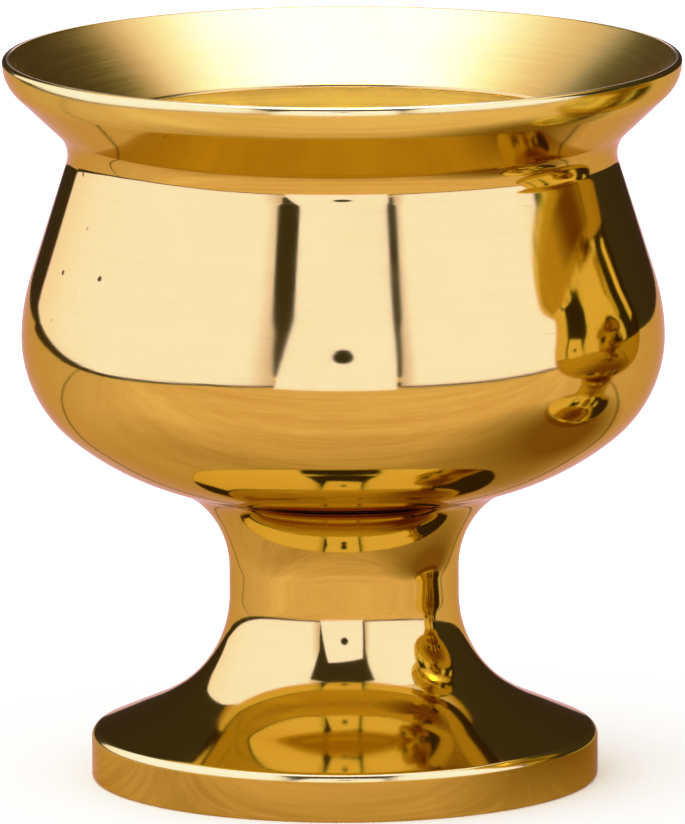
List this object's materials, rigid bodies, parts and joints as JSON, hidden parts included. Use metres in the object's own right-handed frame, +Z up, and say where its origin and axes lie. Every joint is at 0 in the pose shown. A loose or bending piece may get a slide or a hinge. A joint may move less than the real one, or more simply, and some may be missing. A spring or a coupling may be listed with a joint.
{
  "type": "pedestal cup",
  "caption": "Small turned brass pedestal cup with a flared lip, open at the top, bolted to a hollow round foot; holds a wick, candle or brass wool.",
  "frame": {"origin": "centre of the foot's underside, on the surface the cup stands on", "axes": "+Z up the cup's axis of turning, -Y towards the front view"},
  "size_m": [0.0422, 0.0422, 0.0453],
  "materials": {
    "bowl_brass": "mirror polished outside, brushed inside the lip",
    "pedestal_brass": "mirror polished outside, turned underneath",
    "zinc_steel": "bright zinc plated"
  },
  "bodies": {
    "root": {"bowl": "bowl_brass", "pedestal": "pedestal_brass", "stud": "zinc_steel", "flat_washer": "zinc_steel", "spring_washer": "zinc_steel", "hex_nut": "zinc_steel"}
  },
  "joints": []
}
